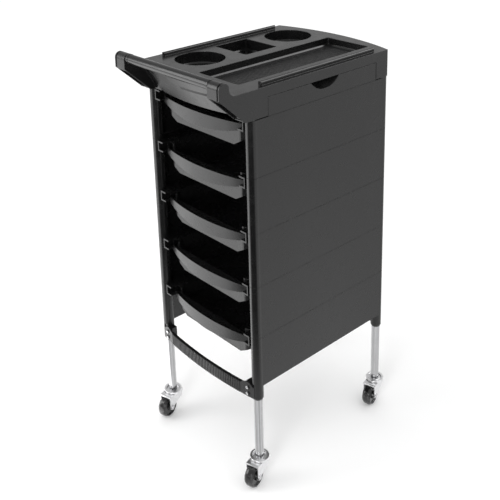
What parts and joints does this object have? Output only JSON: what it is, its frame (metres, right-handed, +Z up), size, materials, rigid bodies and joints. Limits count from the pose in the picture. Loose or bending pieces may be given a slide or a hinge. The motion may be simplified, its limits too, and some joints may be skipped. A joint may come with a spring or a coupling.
{
  "type": "rolling salon trolley",
  "caption": "Tall narrow salon trolley: moulded side panels on chrome tube legs with swivel casters, sliding trays, a side drawer and a welled top tray with a pull handle.",
  "frame": {"origin": "on the floor, under the middle of the whole object's box", "axes": "+Z up, -Y towards the tray fronts and the handle, +X towards the side with the small drawer"},
  "size_m": [0.3366, 0.4759, 0.868],
  "materials": {
    "top_plastic": "moulded black plastic, fine satin texture",
    "panel_plastic": "moulded black plastic, smooth satin face",
    "tray_plastic": "moulded black plastic, satin",
    "bar_plastic": "moulded black plastic, ribbed face",
    "grip_plastic": "moulded black plastic, satin grip",
    "drawer_plastic": "moulded black plastic, satin",
    "leg_chrome": "polished chrome plate",
    "fork_zinc": "bright zinc-plated pressed steel",
    "pin_steel": "bright steel",
    "socket_nylon": "black nylon",
    "wheel_plastic": "hard black rubber-like plastic, glossy"
  },
  "bodies": {
    "frame": {"top_tray": "top_plastic", "handle_bar": "grip_plastic", "left_handle_collar": "grip_plastic", "right_handle_collar": "grip_plastic", "left_panel_1": "panel_plastic", "left_panel_2": "panel_plastic", "left_panel_3": "panel_plastic", "left_panel_4": "panel_plastic", "left_panel_5": "panel_plastic", "right_panel_1": "panel_plastic", "right_panel_2": "panel_plastic", "right_panel_3": "panel_plastic", "right_panel_4": "panel_plastic", "right_panel_5": "panel_plastic", "front_crossbar": "bar_plastic", "rear_crossbar": "bar_plastic", "crossbar_screws": "pin_steel", "front_left_tube": "leg_chrome", "front_right_tube": "leg_chrome", "rear_left_tube": "leg_chrome", "rear_right_tube": "leg_chrome", "front_left_socket": "socket_nylon", "front_right_socket": "socket_nylon", "rear_left_socket": "socket_nylon", "rear_right_socket": "socket_nylon", "front_left_stem": "pin_steel", "front_right_stem": "pin_steel", "rear_left_stem": "pin_steel", "rear_right_stem": "pin_steel"},
    "side_drawer": {"side_drawer": "drawer_plastic"},
    "tray_1": {"tray_1": "tray_plastic"},
    "tray_2": {"tray_2": "tray_plastic"},
    "tray_3": {"tray_3": "tray_plastic"},
    "tray_4": {"tray_4": "tray_plastic"},
    "tray_5": {"tray_5": "tray_plastic"},
    "front_left_fork": {"front_left_fork": "fork_zinc", "front_left_race": "fork_zinc", "front_left_axle": "pin_steel"},
    "front_left_wheel": {"front_left_wheel": "wheel_plastic"},
    "front_right_fork": {"front_right_fork": "fork_zinc", "front_right_race": "fork_zinc", "front_right_axle": "pin_steel"},
    "front_right_wheel": {"front_right_wheel": "wheel_plastic"},
    "rear_left_fork": {"rear_left_fork": "fork_zinc", "rear_left_race": "fork_zinc", "rear_left_axle": "pin_steel"},
    "rear_left_wheel": {"rear_left_wheel": "wheel_plastic"},
    "rear_right_fork": {"rear_right_fork": "fork_zinc", "rear_right_race": "fork_zinc", "rear_right_axle": "pin_steel"},
    "rear_right_wheel": {"rear_right_wheel": "wheel_plastic"}
  },
  "joints": [
    {"name": "drawer_slide", "type": "slide", "parent": "frame", "child": "side_drawer", "axis": [1, 0, 0], "range_m": [0, 0.11]},
    {"name": "tray_1_slide", "type": "slide", "parent": "frame", "child": "tray_1", "axis": [0, -1, 0], "range_m": [0, 0.24]},
    {"name": "tray_2_slide", "type": "slide", "parent": "frame", "child": "tray_2", "axis": [0, -1, 0], "range_m": [0, 0.24]},
    {"name": "tray_3_slide", "type": "slide", "parent": "frame", "child": "tray_3", "axis": [0, -1, 0], "range_m": [0, 0.24]},
    {"name": "tray_4_slide", "type": "slide", "parent": "frame", "child": "tray_4", "axis": [0, -1, 0], "range_m": [0, 0.24]},
    {"name": "tray_5_slide", "type": "slide", "parent": "frame", "child": "tray_5", "axis": [0, -1, 0], "range_m": [0, 0.24]},
    {"name": "front_left_swivel", "type": "hinge", "parent": "frame", "child": "front_left_fork", "pos_m": [-0.1455, -0.155, 0.05], "axis": [0, 0, 1], "continuous": true},
    {"name": "front_left_spin", "type": "hinge", "parent": "front_left_fork", "child": "front_left_wheel", "pos_m": [-0.13955, -0.17722, 0.0235], "axis": [0.9659, 0.2588, 0], "continuous": true},
    {"name": "front_right_swivel", "type": "hinge", "parent": "frame", "child": "front_right_fork", "pos_m": [0.1455, -0.155, 0.05], "axis": [0, 0, 1], "continuous": true},
    {"name": "front_right_spin", "type": "hinge", "parent": "front_right_fork", "child": "front_right_wheel", "pos_m": [0.15145, -0.17722, 0.0235], "axis": [0.9659, 0.2588, 0], "continuous": true},
    {"name": "rear_left_swivel", "type": "hinge", "parent": "frame", "child": "rear_left_fork", "pos_m": [-0.1455, 0.208, 0.05], "axis": [0, 0, 1], "continuous": true},
    {"name": "rear_left_spin", "type": "hinge", "parent": "rear_left_fork", "child": "rear_left_wheel", "pos_m": [-0.15145, 0.18578, 0.0235], "axis": [0.9659, -0.2588, 0], "continuous": true},
    {"name": "rear_right_swivel", "type": "hinge", "parent": "frame", "child": "rear_right_fork", "pos_m": [0.1455, 0.208, 0.05], "axis": [0, 0, 1], "continuous": true},
    {"name": "rear_right_spin", "type": "hinge", "parent": "rear_right_fork", "child": "rear_right_wheel", "pos_m": [0.15145, 0.18578, 0.0235], "axis": [0.9659, 0.2588, 0], "continuous": true}
  ]
}
